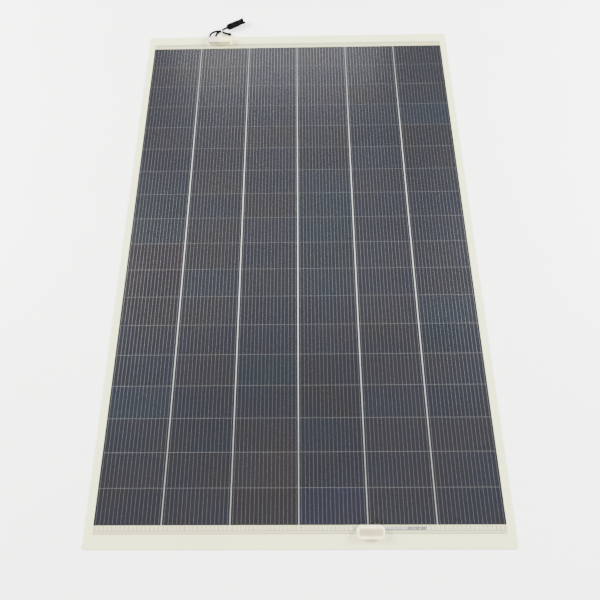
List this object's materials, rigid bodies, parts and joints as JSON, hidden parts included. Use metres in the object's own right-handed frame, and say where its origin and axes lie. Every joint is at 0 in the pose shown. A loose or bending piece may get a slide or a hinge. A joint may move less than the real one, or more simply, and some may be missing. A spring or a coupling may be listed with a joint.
{
  "type": "flexible solar sheet",
  "caption": "Thin flexible solar sheet of half-cut cells in a resin laminate, with low snap-lid junction boxes and a round latching connector on a short lead.",
  "frame": {"origin": "centre of the sheet's back face", "axes": "+X across the sheet's width, +Y along its length towards the output junction box, +Z out of the cells' side"},
  "size_m": [1.15, 1.8534, 0.0208],
  "materials": {
    "laminate": "cream glass-fibre laminate, finely textured, satin",
    "front_film": "clear film with a fine embossed texture",
    "encapsulant": "clear adhesive layer",
    "cell": "dark blue-grey silicon cells with fine silver wires",
    "ribbon": "tinned copper ribbon, dull silver",
    "cover_strip": "white insulating strip",
    "box": "ivory moulded plastic, soft gloss",
    "seal": "black rubber",
    "pad": "dark foam tape",
    "potting": "pale soft gel",
    "copper": "tinned copper contact metal",
    "diode": "black moulded diode with wire ends",
    "gland": "black rubber strain relief",
    "lead": "black cable sheath, satin",
    "end_cap": "black shrink sleeve",
    "tie": "pale natural nylon",
    "connector": "black moulded plastic, fine texture"
  },
  "bodies": {
    "panel": {"back_sheet": "laminate", "front_sheet": "front_film", "front_encapsulant": "encapsulant", "rear_encapsulant": "encapsulant", "cell_string_1": "cell", "cell_string_2": "cell", "cell_string_3": "cell", "cell_string_4": "cell", "cell_string_5": "cell", "cell_string_6": "cell", "far_bus_ribbon_1": "ribbon", "far_bus_ribbon_2": "ribbon", "far_bus_ribbon_3": "ribbon", "far_bus_ribbon_4": "ribbon", "near_bus_ribbon_1": "ribbon", "near_bus_ribbon_2": "ribbon", "near_bus_ribbon_3": "ribbon", "far_box_bus_lead": "ribbon", "far_return_ribbon": "ribbon", "near_box_bus_lead_left": "ribbon", "near_box_bus_lead_right": "ribbon", "far_bus_cover_strip": "cover_strip", "near_bus_cover_strip": "cover_strip", "far_box_base": "box", "near_box_base": "box", "far_box_lid_seal": "seal", "near_box_lid_seal": "seal", "connector_gland_seal": "seal", "connector_o_ring": "seal", "far_box_adhesive_pad": "pad", "near_box_adhesive_pad": "pad", "far_box_potting": "potting", "near_box_potting": "potting", "far_box_terminal_left": "copper", "far_box_terminal_right": "copper", "near_box_terminal_left": "copper", "near_box_terminal_right": "copper", "connector_contact": "copper", "far_box_diode": "diode", "near_box_diode": "diode", "far_box_gland_1": "gland", "far_box_gland_2": "gland", "positive_lead": "lead", "negative_lead": "lead", "negative_lead_end_cap": "end_cap", "cable_tie": "tie", "connector_housing": "connector", "connector_clamp_collet": "connector"},
    "far_lid": {"far_box_lid": "box"},
    "near_lid": {"near_box_lid": "box"},
    "gland_nut": {"connector_gland_nut": "connector"},
    "latch_left_arm": {"connector_latch_left": "connector"},
    "latch_right_arm": {"connector_latch_right": "connector"}
  },
  "joints": [
    {"name": "far_lid_lift", "type": "slide", "parent": "panel", "child": "far_lid", "axis": [0, 0, 1], "range_m": [0, 0.02]},
    {"name": "near_lid_lift", "type": "slide", "parent": "panel", "child": "near_lid", "axis": [0, 0, 1], "range_m": [0, 0.02]},
    {"name": "gland_nut_turn", "type": "hinge", "parent": "panel", "child": "gland_nut", "pos_m": [-0.2743, 0.9227, 0.0105], "axis": [0.8746, 0.4848, 0], "range_deg": [0, 330]},
    {"name": "latch_left_press", "type": "hinge", "parent": "panel", "child": "latch_left_arm", "pos_m": [-0.24227, 0.95052, 0.0105], "axis": [0, 0, -1], "range_deg": [0, 3.5], "stiffness_Nm_per_rad": 0.5},
    {"name": "latch_right_press", "type": "hinge", "parent": "panel", "child": "latch_right_arm", "pos_m": [-0.23374, 0.93512, 0.0105], "axis": [0, 0, 1], "range_deg": [0, 3.5], "stiffness_Nm_per_rad": 0.5}
  ]
}
